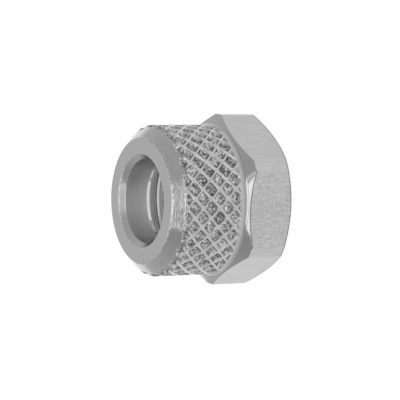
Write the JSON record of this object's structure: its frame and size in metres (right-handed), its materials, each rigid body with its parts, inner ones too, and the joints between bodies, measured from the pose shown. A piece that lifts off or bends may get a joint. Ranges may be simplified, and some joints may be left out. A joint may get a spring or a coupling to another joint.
{
  "type": "knurled union nut",
  "caption": "One-piece turned nut: knurled drum for the fingers, hexagon for a wrench, internal thread at one end and a smooth through bore in the nose.",
  "frame": {"origin": "middle of the hexagon's end face, which the nut stands on", "axes": "+Z along the nut's axis, from the hexagon's end face to the nose; two wrench flats face -Y and +Y, and a corner lies on +X"},
  "size_m": [0.0134, 0.012, 0.01],
  "materials": {
    "turned_steel": "bright turned stainless steel, satin drawn flats, rolled knurl, fine tool marks"
  },
  "bodies": {
    "root": {"nut_body": "turned_steel"}
  },
  "joints": []
}
